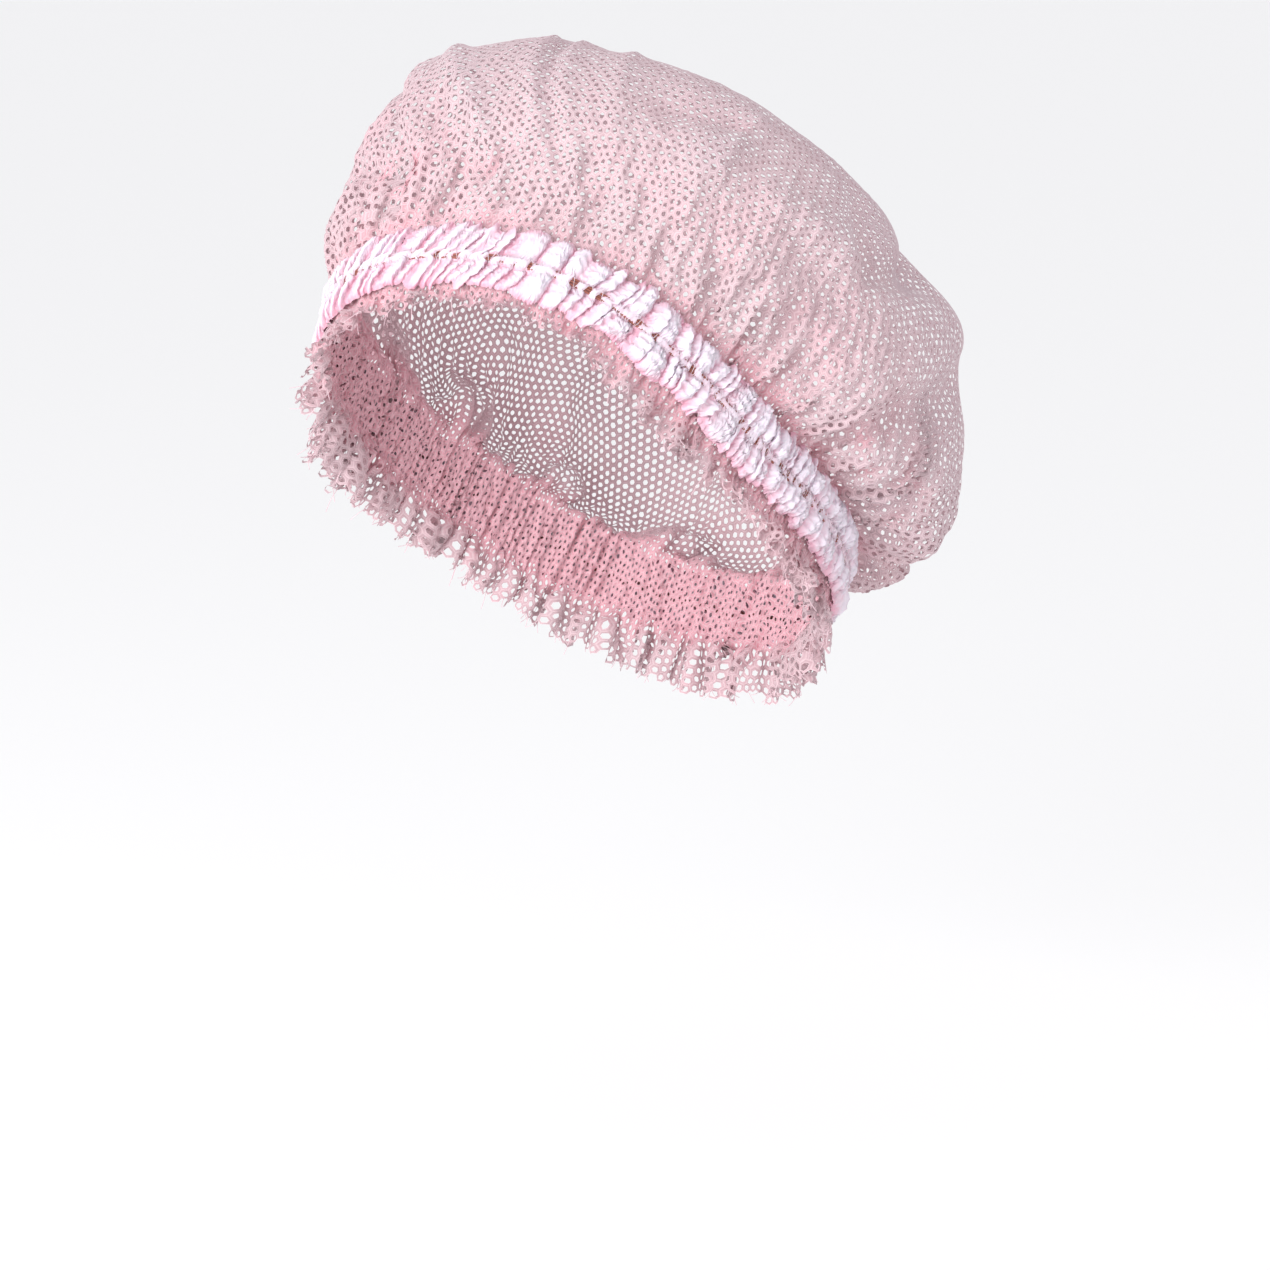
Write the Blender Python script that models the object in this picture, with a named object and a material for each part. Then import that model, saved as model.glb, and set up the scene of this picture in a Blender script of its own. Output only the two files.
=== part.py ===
"""Bouffant hairnet in its worn form: a round net drawn up into a gathered tape band.

Metres, +Z up. The forehead side is towards -Y and the wearer's left is towards +X.
The origin is the middle of the opening. The net is one disc: crown, the stretch under the
tape, and the raw edge that sticks out below it as a frill.
"""
import math
from collections import namedtuple

import bmesh
import bpy
import numpy as np

MM = 0.001

# The opening. Its line lies round a form with these half sizes, tilted up at the forehead
FORM_HALF = (75 * MM, 93 * MM, 98 * MM)
FORM_SQUARENESS = 2.4
FORM_CENTRE = np.array((0.0, 0.0, -5 * MM))
OPENING_TILT = math.radians(39)

# The net: a disc of warp knit, drawn together under the tape
NET_WALL = 1.2 * MM
NET_OVER_FORM = 1.0 * MM
NET_COLUMNS = 90
FRILL_ROWS = 2
CROWN_ROWS = 14
CROWN_START = 14 * MM
APEX_BACK = 13 * MM
APEX_HEIGHT = 123.5 * MM
BELLY_SHARE = 0.3
BELLY_LEAVE = 1.5
GATHER_HEIGHT = 2.4 * MM
GATHER_PEAK = 0.08
GATHER_SWELLS = 7
GATHER_SWELL_SHARE = 0.3
FRILL_RUFFLES = 22
FRILL_FLARE = 3.0 * MM
FRILL_WAVE = 2.2 * MM
FRILL_RAGGED = 1.2 * MM
FRILL_CURL = 1.5
FRILL_UNDER_TAPE = 1.5 * MM
HEART_HEIGHT = 45 * MM
HEART_BACK = 12 * MM

# The gathered tape: pleats round the opening, two rows of puffs with a pinched line between
PLEATS = 72
TAPE_WALL = 1.6 * MM
TAPE_SEAT = 3.6 * MM
VALLEY_NARROWER = 0.06

# The elastic: a flat strip in the pinched line, one gap clear of the tape
GAP = 0.3 * MM
ELASTIC_WIDTH = 2.8 * MM
ELASTIC_THICKNESS = 1.2 * MM
ELASTIC_COLUMNS = 72
ELASTIC_SIDES = 6
ELASTIC_FLAT_SHARE = 0.6
ELASTIC_SHARP = math.radians(40)

# How finely the curves are read, and how close two places are before they are one
RIB_SAMPLES = 200
FOLD_SAMPLES = 11
TURN_STEP = 0.001
MERGE = 0.001 * MM

# One row every 30 degrees, from the forehead round by the wearer's left.
# lift: degrees that the band lies above the tilted plane; standoff, frill: mm
# belly_radius, belly_height: widest place of the crown, mm in the tilted plane and above it
# squareness: 2 is an ellipse from the widest place up to the apex
Section = namedtuple("Section", "lift standoff frill belly_radius belly_height squareness")
SECTIONS = (
    Section(1.5, 1.5, 3, 107, 58, 2.3),
    Section(7.0, 1.0, 3, 101, 58, 2.3),
    Section(5.5, 1.0, 10, 96, 51, 2.1),
    Section(2.7, 1.0, 6, 93, 44, 2.2),
    Section(3.3, 2.5, 11, 101, 34, 2.2),
    Section(2.0, 6.5, 17, 122, 25, 2.8),
    Section(0.0, 7.5, 18, 131, 31, 2.6),
    Section(-2.0, 6.5, 16, 126, 36, 2.55),
    Section(-4.0, 4.0, 14, 116, 42, 2.6),
    Section(-6.0, 3.0, 17, 110, 47, 2.65),
    Section(-6.0, 3.0, 18, 115, 51, 2.8),
    Section(-4.0, 3.0, 8, 108, 62, 2.8),
)

# Folds and dents of the crown. turn: degrees round the opening from the forehead;
# climb: share of the way from the band to the apex; width, height: mm, a dent is negative;
# crisp: 2 is a soft swell, 1 a sharp crease
Fold = namedtuple("Fold", "turn_from climb_from turn_to climb_to width height crisp")
FOLDS = (
    Fold(70, 0.13, 90, 0.42, 6, -4, 1.3),
    Fold(88, 0.40, 126, 0.62, 9, -9, 2),
    Fold(102, 0.04, 110, 0.20, 6, -4, 1.3),
    Fold(108, 0.18, 138, 0.43, 9, -10, 2),
    Fold(92, 0.10, 124, 0.45, 14, 4, 2),
    Fold(112, 0.12, 128, 0.18, 18, 4, 2),
    Fold(122, 0.44, 142, 0.56, 14, 3, 2),
    Fold(124, 0.05, 142, 0.20, 15, 3.5, 2),
    Fold(146, 0.50, 149, 0.34, 9, -4, 2),
    Fold(122, 0.02, 109, 0.12, 5, 3, 1.2),
    Fold(138, 0.03, 126, 0.14, 5, -4, 1.2),
    Fold(60, 0.50, 72, 0.62, 15, 2, 2),
    Fold(60, 0.28, 80, 0.35, 8, 5, 1.6),
    Fold(66, 0.23, 76, 0.25, 8, -4, 2),
    Fold(79, 0.48, 80, 0.38, 8, -5, 2),
    Fold(46, 0.66, 74, 0.66, 10, -5, 2),
    Fold(46, 0.44, 44, 0.24, 4, 4, 1.1),
    Fold(31, 0.33, 42, 0.38, 10, -5, 2),
    Fold(46, 0.03, 40, 0.30, 8, 3, 1.5),
    Fold(-5, 0.46, 16, 0.12, 3.5, 3.5, 1.1),
    Fold(-2, 0.47, 18, 0.12, 2.5, -3.5, 1.1),
    Fold(2, 0.46, 21, 0.12, 3.5, 3, 1.1),
    Fold(13, 0.48, 28, 0.15, 3, 2, 1.1),
    Fold(-24, 0.40, -2, 0.22, 5, 4, 1.1),
    Fold(-36, 0.52, -22, 0.44, 9, -4, 2),
    Fold(8, 0.55, 26, 0.60, 10, -3, 2),
    Fold(-2, 0.22, 4, 0.13, 4, 3, 1.1),
    Fold(-40, 0.38, -13, 0.11, 4, -4, 1.1),
    Fold(-32, 0.36, -8, 0.12, 8, 3, 2),
    Fold(-13, 0.11, -54, 0.25, 4, -4, 1.1),
    Fold(-52, 0.12, -40, 0.08, 12, 1.5, 2),
    Fold(-64, 0.20, -44, 0.22, 7, -3, 2),
    Fold(-80, 0.05, -60, 0.45, 9, -5, 2),
    Fold(-70, 0.10, -52, 0.50, 9, 3, 2),
    Fold(-104, 0.05, -116, 0.42, 10, -6, 2),
    Fold(-132, 0.05, -120, 0.52, 9, -7, 2),
    Fold(-144, 0.10, -145, 0.50, 15, 4, 2),
    Fold(-156, 0.04, -170, 0.55, 9, -7, 2),
    Fold(178, 0.05, 172, 0.45, 10, -6, 2),
    Fold(150, 0.05, 162, 0.50, 9, -6, 2),
)

# Half of a puff row, from the pinched line out to its edge: mm along the band's width and
# mm that a pleat's crest and its valley stand out from the tape's seat
Puff = namedtuple("Puff", "across crest valley")
UPPER_PUFF = (Puff(1.9, 0.0, 0.0), Puff(4.4, 3.2, 0.2), Puff(9.0, 4.6, 0.0), Puff(12.5, 3.0, 0.0))
LOWER_PUFF = (Puff(-1.9, 0.0, 0.0), Puff(-4.2, 2.8, 0.2), Puff(-8.0, 3.6, 0.0), Puff(-11.5, 2.2, 0.0))

# Slow swells of the puffs round the opening: how many, by what share, and where they start
Swell = namedtuple("Swell", "count share start")
PUFF_SWELLS = (Swell(5, 0.18, 0.0), Swell(13, 0.12, 1.0))

# Directions of the tilted opening: sideways, towards the nape, and up through the crown
SIDE = np.array((1.0, 0.0, 0.0))
NAPE = np.array((0.0, math.cos(OPENING_TILT), -math.sin(OPENING_TILT)))
RISE = np.array((0.0, math.sin(OPENING_TILT), math.cos(OPENING_TILT)))
CROWN_HEART = FORM_CENTRE + HEART_HEIGHT * RISE + HEART_BACK * NAPE


def clear_scene():
    for thing in list(bpy.data.objects):
        bpy.data.objects.remove(thing, do_unlink=True)


def unit(vectors):
    return vectors / np.linalg.norm(vectors, axis=-1, keepdims=True)


def around(column, turn):
    """A column of SECTIONS read smoothly at any turn, closed on itself."""
    values = np.array([getattr(section, column) for section in SECTIONS], float)
    place = (turn / math.tau * len(values)) % len(values)
    row = np.floor(place).astype(int) % len(values)
    step = place - np.floor(place)
    before, here = values[row - 1], values[row]
    after = values[(row + 1) % len(values)]
    beyond = values[(row + 2) % len(values)]
    bend = 2 * before - 5 * here + 4 * after - beyond + step * (3 * (here - after) + beyond - before)
    return here + 0.5 * step * (after - before + step * bend)


def spoke(turn):
    """Unit vectors in the tilted plane, from the forehead (0) round by the wearer's left."""
    return np.multiply.outer(np.sin(turn), SIDE) - np.multiply.outer(np.cos(turn), NAPE)


def pinch_line(turn):
    """The line where the elastic draws the band onto the form."""
    lift = np.radians(around("lift", turn))[..., None]
    ray = np.cos(lift) * spoke(turn) + np.sin(lift) * RISE
    flat = (ray[..., 0] / FORM_HALF[0]) ** 2 + (ray[..., 1] / FORM_HALF[1]) ** 2
    reach = flat ** (FORM_SQUARENESS / 2) + np.abs(ray[..., 2] / FORM_HALF[2]) ** FORM_SQUARENESS
    distance = reach ** (-1 / FORM_SQUARENESS) + around("standoff", turn) * MM
    return FORM_CENTRE + ray * distance[..., None]


def beside_band(turn, out, up):
    """A place near the band: out from the form, and up across the band's width."""
    line = pinch_line(turn)
    along = unit(pinch_line(turn + TURN_STEP) - pinch_line(turn - TURN_STEP))
    arm = line - FORM_CENTRE
    flat = (arm[..., 0] / FORM_HALF[0]) ** 2 + (arm[..., 1] / FORM_HALF[1]) ** 2
    slope = flat ** (FORM_SQUARENESS / 2 - 1)
    height = arm[..., 2] / FORM_HALF[2]
    facing = np.stack((slope * arm[..., 0] / FORM_HALF[0] ** 2,
                       slope * arm[..., 1] / FORM_HALF[1] ** 2,
                       np.sign(height) * np.abs(height) ** (FORM_SQUARENESS - 1) / FORM_HALF[2]), -1)
    facing = unit(facing - (facing * along).sum(-1, keepdims=True) * along)
    across = np.cross(facing, along)
    across *= np.sign(across @ RISE)[..., None]
    return line + facing * np.asarray(out)[..., None] + across * np.asarray(up)[..., None]


def billow(turn, share):
    """The crown without its folds: out from the band to the belly, then over to the apex."""
    start = beside_band(turn, np.full(turn.shape, NET_OVER_FORM), np.full(turn.shape, CROWN_START))
    start = start - FORM_CENTRE
    sideways = np.multiply.outer(np.cos(turn), SIDE) + np.multiply.outer(np.sin(turn), NAPE)
    start_radius = (start * spoke(turn)).sum(-1)
    start_height = start @ RISE
    drift = (start * sideways).sum(-1)
    belly_radius = around("belly_radius", turn) * MM
    belly_height = around("belly_height", turn) * MM
    power = 2 / around("squareness", turn)
    low = share < BELLY_SHARE
    under = np.clip(share / BELLY_SHARE, 0, 1) * math.pi / 2
    over = np.clip((share - BELLY_SHARE) / (1 - BELLY_SHARE), 0, 1) * math.pi / 2
    radius_low = start_radius + (belly_radius - start_radius) * np.sin(under) ** BELLY_LEAVE
    radius_high = belly_radius * np.abs(np.cos(over)) ** power
    height_low = start_height + (belly_height - start_height) * (1 - np.cos(under))
    height_high = belly_height + (APEX_HEIGHT - belly_height) * np.sin(over) ** power
    radius = np.where(low, radius_low, radius_high)[..., None]
    height = np.where(low, height_low, height_high)[..., None]
    back = APEX_BACK * np.sin(over)[..., None] ** 2
    drift = (drift * np.cos(under) ** 2)[..., None]
    return FORM_CENTRE + spoke(turn) * radius + sideways * drift + RISE * height + NAPE * back


def crown(turn, climb):
    """The billow measured evenly: climb is the share of each rib's length, band to apex."""
    samples = np.linspace(0, 1, RIB_SAMPLES)
    share = np.empty(turn.shape)
    for angle in np.unique(turn):
        rib = billow(np.full(samples.shape, angle), samples)
        lengths = np.concatenate(([0], np.cumsum(np.linalg.norm(np.diff(rib, axis=0), axis=1))))
        here = turn == angle
        share[here] = np.interp(climb[here] * lengths[-1], lengths, samples)
    return billow(turn, share)


def fold_relief(points):
    """How far the folds and dents lift each point of the crown."""
    relief = np.zeros(len(points))
    for fold in FOLDS:
        turns = np.radians(np.linspace(fold.turn_from, fold.turn_to, FOLD_SAMPLES))
        crest = crown(turns, np.linspace(fold.climb_from, fold.climb_to, FOLD_SAMPLES))
        away = np.full(len(points), np.inf)
        for here, run in zip(crest, np.diff(crest, axis=0)):
            along = np.clip((points - here) @ run / (run @ run), 0, 1)
            away = np.minimum(away, np.linalg.norm(points - here - along[:, None] * run, axis=1))
        relief += fold.height * MM * np.exp(-(away / (fold.width * MM)) ** fold.crisp)
    return relief


def net_surface(turn, row):
    """The disc of net: frill rows first, then the stretch under the tape, then the crown."""
    points = np.empty((len(turn), 3))
    is_crown = row > FRILL_ROWS
    climb = (row[is_crown] - FRILL_ROWS - 1) / CROWN_ROWS
    angle = turn[is_crown]
    shell = crown(angle, climb)
    fade = climb / GATHER_PEAK * np.exp(1 - climb / GATHER_PEAK)
    swell = 1 - GATHER_SWELL_SHARE + GATHER_SWELL_SHARE * np.sin(GATHER_SWELLS * angle)
    side = np.cos(angle * NET_COLUMNS / 2) * swell
    relief = fold_relief(shell) * np.minimum(1, climb / GATHER_PEAK) + GATHER_HEIGHT * fade * side
    points[is_crown] = shell + unit(shell - CROWN_HEART) * relief[:, None]

    angle = turn[~is_crown]
    spread = 1 - row[~is_crown] / FRILL_ROWS
    ragged = FRILL_RAGGED * np.cos(angle * NET_COLUMNS / 2)
    length = around("frill", angle) * MM + ragged
    wave = FRILL_FLARE + FRILL_WAVE * np.sin(FRILL_RUFFLES * angle)
    tape_edge = LOWER_PUFF[-1].across * MM - FRILL_UNDER_TAPE
    out = NET_OVER_FORM + wave * spread ** FRILL_CURL
    points[~is_crown] = beside_band(angle, out, tape_edge - length * spread)
    return points


def tape_surface(turn, row):
    """The outer face of the tape: every other column is a pleat's crest."""
    profile = tuple(reversed(LOWER_PUFF)) + UPPER_PUFF
    across, crest, valley = np.array(profile).T * MM
    row = row.astype(int)
    pleat = np.rint(turn / math.tau * 2 * PLEATS).astype(int)
    is_crest = pleat % 2 == 0
    fullness = 1 + sum(swell.share * np.sin(swell.count * turn + swell.start) for swell in PUFF_SWELLS)
    out = TAPE_SEAT + np.where(is_crest, crest[row] * fullness, valley[row])
    edge = np.where(is_crest, 0.0, VALLEY_NARROWER) * across[row]
    return beside_band(turn, out, across[row] - edge)


def elastic_surface(turn, row):
    """The outside of the elastic: a flat strip with rounded long edges."""
    seat = TAPE_SEAT + GAP
    middle, top = seat + ELASTIC_THICKNESS / 2, seat + ELASTIC_THICKNESS
    half = ELASTIC_WIDTH / 2
    flat = ELASTIC_FLAT_SHARE * half
    section = ((seat, -flat), (middle, -half), (top, -flat), (top, flat), (middle, half), (seat, flat))
    out, up = np.array(section)[row.astype(int) % ELASTIC_SIDES].T
    return beside_band(turn, out, up)


def wrapped_grid(name, columns, rows, surface, material):
    """A grid bent round the opening: its ends meet, and so do long edges that lie together."""
    mesh = bpy.data.meshes.new(name)
    sheet = bmesh.new()
    bmesh.ops.create_grid(sheet, x_segments=columns, y_segments=rows, size=0.5)
    places = np.array([(vert.co.x + 0.5, vert.co.y + 0.5) for vert in sheet.verts])
    column = np.rint(places[:, 0] * columns) % columns
    points = surface(column / columns * math.tau, np.rint(places[:, 1] * rows))
    for vert, point in zip(sheet.verts, points):
        vert.co = point
    bmesh.ops.remove_doubles(sheet, verts=sheet.verts, dist=MERGE)
    bmesh.ops.recalc_face_normals(sheet, faces=sheet.faces)
    outward = sum(face.calc_area() * face.normal.dot(face.calc_center_median()) for face in sheet.faces)
    if outward < 0:
        bmesh.ops.reverse_faces(sheet, faces=sheet.faces)
    bmesh.ops.triangulate(sheet, faces=sheet.faces)
    sheet.to_mesh(mesh)
    sheet.free()
    mesh.materials.append(material)
    mesh.shade_smooth()
    piece = bpy.data.objects.new(name, mesh)
    bpy.context.collection.objects.link(piece)
    return piece


def give_wall(sheet, wall):
    """An inward thickness for a sheet whose mesh is its outer face."""
    thickness = sheet.modifiers.new("wall", "SOLIDIFY")
    thickness.thickness = wall
    thickness.offset = -1


def finish(name, colour, roughness):
    """A plain Principled material."""
    material = bpy.data.materials.new(name)
    material.use_nodes = True
    shader = material.node_tree.nodes["Principled BSDF"]
    shader.inputs["Base Color"].default_value = (*colour, 1)
    shader.inputs["Roughness"].default_value = roughness
    shader.inputs["Metallic"].default_value = 0.0
    material.diffuse_color = (*colour, 1)
    return material


def build():
    clear_scene()
    knit = finish("pink_warp_knit", (0.86, 0.57, 0.62), 0.85)
    film = finish("white_film_tape", (0.90, 0.76, 0.84), 0.45)
    rubber = finish("latex_elastic", (0.34, 0.11, 0.07), 0.60)
    net_rows = FRILL_ROWS + 1 + CROWN_ROWS
    tape_rows = len(LOWER_PUFF) + len(UPPER_PUFF) - 1
    net = wrapped_grid("net", NET_COLUMNS, net_rows, net_surface, knit)
    give_wall(net, NET_WALL)
    tape = wrapped_grid("gathered_band", 2 * PLEATS, tape_rows, tape_surface, film)
    give_wall(tape, TAPE_WALL)
    elastic = wrapped_grid("elastic", ELASTIC_COLUMNS, ELASTIC_SIDES, elastic_surface, rubber)
    elastic.data.set_sharp_from_angle(angle=ELASTIC_SHARP)


build()
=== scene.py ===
"""The looks of a bouffant hairnet in its worn form: knitted net, gathered film tape, elastic.

Metres, +Z up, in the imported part's frame: the forehead side is towards -Y and the wearer's
left is towards +X. The net is one round disc of warp knit. A place on it is its turn (round
the opening, from the forehead by the wearer's left) and its reach (from the apex outwards).
"""

import math
from collections import namedtuple

import bmesh
import bpy
import numpy as np
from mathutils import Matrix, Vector


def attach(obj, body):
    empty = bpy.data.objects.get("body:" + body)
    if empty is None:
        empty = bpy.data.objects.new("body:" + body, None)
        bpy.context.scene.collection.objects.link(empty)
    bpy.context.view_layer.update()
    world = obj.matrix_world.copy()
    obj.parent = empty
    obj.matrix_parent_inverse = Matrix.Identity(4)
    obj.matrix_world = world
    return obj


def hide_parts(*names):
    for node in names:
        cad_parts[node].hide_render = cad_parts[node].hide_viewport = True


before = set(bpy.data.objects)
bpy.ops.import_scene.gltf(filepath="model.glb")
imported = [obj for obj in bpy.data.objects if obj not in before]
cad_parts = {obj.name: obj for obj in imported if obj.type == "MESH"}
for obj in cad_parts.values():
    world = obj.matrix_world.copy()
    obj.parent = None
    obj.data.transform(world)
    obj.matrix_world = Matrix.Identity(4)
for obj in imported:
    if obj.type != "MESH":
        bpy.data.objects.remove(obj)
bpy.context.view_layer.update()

MM = 0.001

# The photograph's view: the camera's place, what it aims at, and its lens on a 36 mm sensor
CAMERA_PLACE = (1.02635, -1.07667, 0.20584)
CAMERA_AIM = (0.02048, 0.00199, -0.06752)
CAMERA_LENS = 127.56

# The studio: the floor, and light in watts from a square lamp and as a strength from all round
FLOOR_LEVEL = -260 * MM
KEY_PLACE = (0.35, -1.55, 0.35)
KEY_SIZE = 1.0
KEY_POWER = 20
SKY_STRENGTH = 0.94

# How hard a tie pulls in one round, and how much each place follows its neighbours
TIE_PULL = 0.45
TIE_CALM = 0.01

# Less than any real length, less than any real area, and the step that gives a direction
TINY = 1e-9
NO_AREA = 1e-12
TURN_STEP = 0.001

# The opening. Its line lies round a form with these half sizes, tilted up at the forehead
FORM_HALF = (75 * MM, 93 * MM, 98 * MM)
FORM_SQUARENESS = 2.4
FORM_CENTRE = np.array((0.0, 0.0, -5 * MM))
OPENING_TILT = math.radians(39)

# The crown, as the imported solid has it: its start above the pinched line, its apex, the share
# of it below its widest place, and how gently that leaves the band
NET_OVER_FORM = 1.0 * MM
CROWN_START = 14 * MM
APEX_BACK = 13 * MM
APEX_HEIGHT = 123.5 * MM
BELLY_SHARE = 0.3
BELLY_LEAVE = 1.5
RIB_SAMPLES = 240

# Its folds grow from nothing over this climb from the band. Those narrower than a crease, in
# mm, are crisp, and are laid on when the cloth has settled
FOLDS_GROW = 0.08
FOLD_SAMPLES = 11
CREASE = 6

# The raw frill below the tape: its ruffles, how it flares towards its edge, and how far past
# that edge it is worked out
FRILL_RUFFLES = 22
FRILL_WAVE = 2.2 * MM
FRILL_STRAY = 1.0 * MM
FRILL_STRAY_WAVES = (40, 70)
FRILL_FLARE = 3.0 * MM
FRILL_CURVE = 1.5
FRILL_PAST_EDGE = 1.2

# The worn net is worked out on ribs round the opening and rings from apex to raw edge,
# first coarsely, for its large folds, and then finely. Each time it starts a little uneven
RIBS = 480
CROWN_RINGS = 120
COARSE = 4
SPARE_CLOTH = 1.06
COARSE_HELD = 2
COARSE_START = 1.0 * MM
COARSE_BREATH = 0.02 * MM
COARSE_ROUNDS = 260
FINE_HELD = 8
FINE_START = 0.15 * MM
FINE_OUTWARD_SHARE = 0.5
FINE_ROUNDS = 160
FINE_SPARE = 1.03
SKIRT_RING = 1.6 * MM
UNDER_TAPE = 27 * MM
LONGEST_FRILL = 21 * MM

# A place of the net that stands out further than this from those beside it is drawn back
SPIKE = 0.42 * MM
SPIKE_ROUNDS = 24

# The most spare net that counts, as a share of the room it has, and how often it is evened out
MOST_SPARE = 1.6
SPARE_ROUNDS = 3

# Gathers of the net at the tape: how many there are round the opening, how unevenly they run,
# how strong they are, how round their crests, and where they are slight
GATHER_COUNTS = (140, 70, 34)
GATHER_STRAY = 5.0
GATHER_STRENGTH = 0.85
GATHER_UNEVEN = 0.45
GATHER_LIMITS = (0.1, 1.6)
GATHER_CREST = 0.8
SMOOTH_TURN = math.radians(32)
SMOOTH_WIDTH = math.radians(24)
SMOOTH_SHARE = 0.55
GATHER_READINGS = 4096

# How tall the gathers are, in mm, at a distance above the tape's edge (less than 0) and below
Gather = namedtuple("Gather", "past fine middling broad")
GATHERS = (
    Gather(-110, 0, 0, 0), Gather(-70, 0, 0.1, 0.5), Gather(-40, 0.1, 0.7, 0.9), Gather(-18, 0.6, 1.0, 0.6),
    Gather(-3, 1.1, 0.8, 0.2), Gather(1, 1.1, 0.2, 0), Gather(25, 1.1, 0.2, 0), Gather(30, 1.3, 1.0, 0.3),
    Gather(45, 1.4, 1.6, 1.0),
)

# The knit: staggered holes in straight rows across the disc
HOLE_PITCH = 3.4 * MM
HOLE_ROW = 2.6 * MM
HOLE_WIDE = 1.0 * MM
HOLE_HIGH = 1.1 * MM
HOLE_UNEVEN = 0.08
HOLE_SHIFT = 0.05 * MM
ROW_RUNS = math.radians(43)
YARN_RISE = 0.18 * MM
HOLE_CLOSES = 0.4
RAGGED_EDGE = 1.2 * MM
CROWN_PAST_TAPE_EDGE = 4 * MM

# Corners of the knit nearer than this are one, and so are points of a sheet
SAME_CORNER = 0.01 * MM
SAME_POINT = 0.001 * MM

# Cut ends of yarn at the raw edge: they set out as the net does, lean aside and curl
YARN_ENDS = 260
YARN_END_RADIUS = 0.11 * MM
YARN_END_LENGTH = (1.5 * MM, 4.5 * MM)
YARN_END_ROOT = 2 * MM
YARN_END_STEPS = 6
YARN_END_LEAN = 0.5
YARN_END_CURL = 0.7

# The tape: pleats across it, all the way round the opening, held at the pinched line
PLEATS = 128
PLEAT_UNEVEN = 0.42
BROAD_PLEAT_TURN = math.radians(15)
BROAD_PLEAT = 3.0
BROAD_PLEAT_SPLITS = 3
FOREHEAD_PLEATS = 1.4
PLEAT_STRAY = 0.5 * MM
TAPE_COLUMNS = 2300
TAPE_ROWS = 40
TAPE_LENGTH = 1300 * MM
TAPE_WIDTH = 30 * MM
TAPE_SEAT = 3.6 * MM
TAPE_START = 0.05 * MM
TAPE_ROOM = (0.5, 1.1)
TAPE_ROUNDS = 40
BAND_RADIUS = 86 * MM

# Along the forehead, round this turn and this far each way, all pleats slant and lean alike
FOREHEAD_MIDDLE = -0.25
FOREHEAD_REACH = 0.75
SLANT_AT_FOREHEAD = 0.42
SLANT_STRAY = 0.14
PEAK_AT_FOREHEAD = 0.78
LEAN_AT_FOREHEAD = 0.8

# Elsewhere each pleat takes a value from a range: the share across it where it peaks, and on
# each side its start in mm, and its end, height and lean as shares. A flat top is less than 1
PEAKS = (0.3, 0.75)
PLEAT_STARTS = (0.1, 2.2)
PLEAT_ENDS = (0.8, 1.14)
PLEAT_HEIGHTS = (0.6, 1.15)
PLEAT_LEANS = (-0.5, 1.0)
FLAT_TOP_ALONG = 0.65
FLAT_TOP_ACROSS = 0.6
PEAK_NEAR_LINE = 0.75
VALLEY_DEPTH = 0.25 * MM
TAPE_TUCK = 1.8 * MM
TUCK_STEEPNESS = 8

# The tape over the elastic: sewn down on the pinched line, higher on the pleats' crests, and
# parted at some pleats by slits this wide in mm
SEWN_HALF = 1.2 * MM
GROOVE_HALF = 1.9 * MM
COVER_REACH = 1.4
COVER_RISE = 1.75 * MM
COVER_IN_VALLEYS = 0.62
COVER_AT_FOREHEAD = 0.9 * MM
SLITS = 44
SLIT_WIDTHS = (0.45, 1.1)

# Sharp, shallow creases of the film, higher away from the forehead and less over the elastic
CRUMPLES = 7
CRUMPLE_LENGTH = (1.8 * MM, 5.5 * MM)
CRUMPLE_RISE = (0.22 * MM, 0.45 * MM)
CRUMPLE_LESS_ON_COVER = 0.6

# The elastic: round threads side by side in the pinched line, and the thread that sews it
THREADS = 3
THREAD_RADIUS = 0.42 * MM
THREAD_SPACING = 0.92 * MM
THREAD_STEPS = 360
THREAD_ASIDE = 0.12 * MM
THREAD_OUT = 0.1 * MM
STITCHES = 190
STITCH_REACH = 2.1 * MM
STITCH_RADIUS = 0.11 * MM
STITCH_STRAY = 0.002
STITCH_SIDES = (-1, -0.4, 1, 0.4)
STITCH_RISES = (-0.5, 0.35, -0.5, 0.35)
GAP = 0.3 * MM

# One row every 30 degrees, from the forehead round by the wearer's left.
# lift: degrees that the band lies above the tilted plane; standoff, frill: mm
# belly_radius, belly_height: widest place of the crown, mm in the tilted plane and above it
# squareness: 2 is an ellipse from the widest place up to the apex
Section = namedtuple("Section", "lift standoff frill belly_radius belly_height squareness")
SECTIONS = (
    Section(1.5, 1.5, 3, 107, 58, 2.3),
    Section(7.0, 1.0, 3, 101, 58, 2.3),
    Section(5.5, 1.0, 10, 96, 51, 2.1),
    Section(2.7, 1.0, 6, 93, 44, 2.2),
    Section(3.3, 2.5, 11, 101, 34, 2.2),
    Section(2.0, 6.5, 17, 122, 25, 2.8),
    Section(0.0, 7.5, 18, 131, 31, 2.6),
    Section(-2.0, 6.5, 16, 126, 36, 2.55),
    Section(-4.0, 4.0, 14, 116, 42, 2.6),
    Section(-6.0, 3.0, 17, 110, 47, 2.65),
    Section(-6.0, 3.0, 18, 115, 51, 2.8),
    Section(-4.0, 3.0, 8, 108, 62, 2.8),
)

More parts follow.
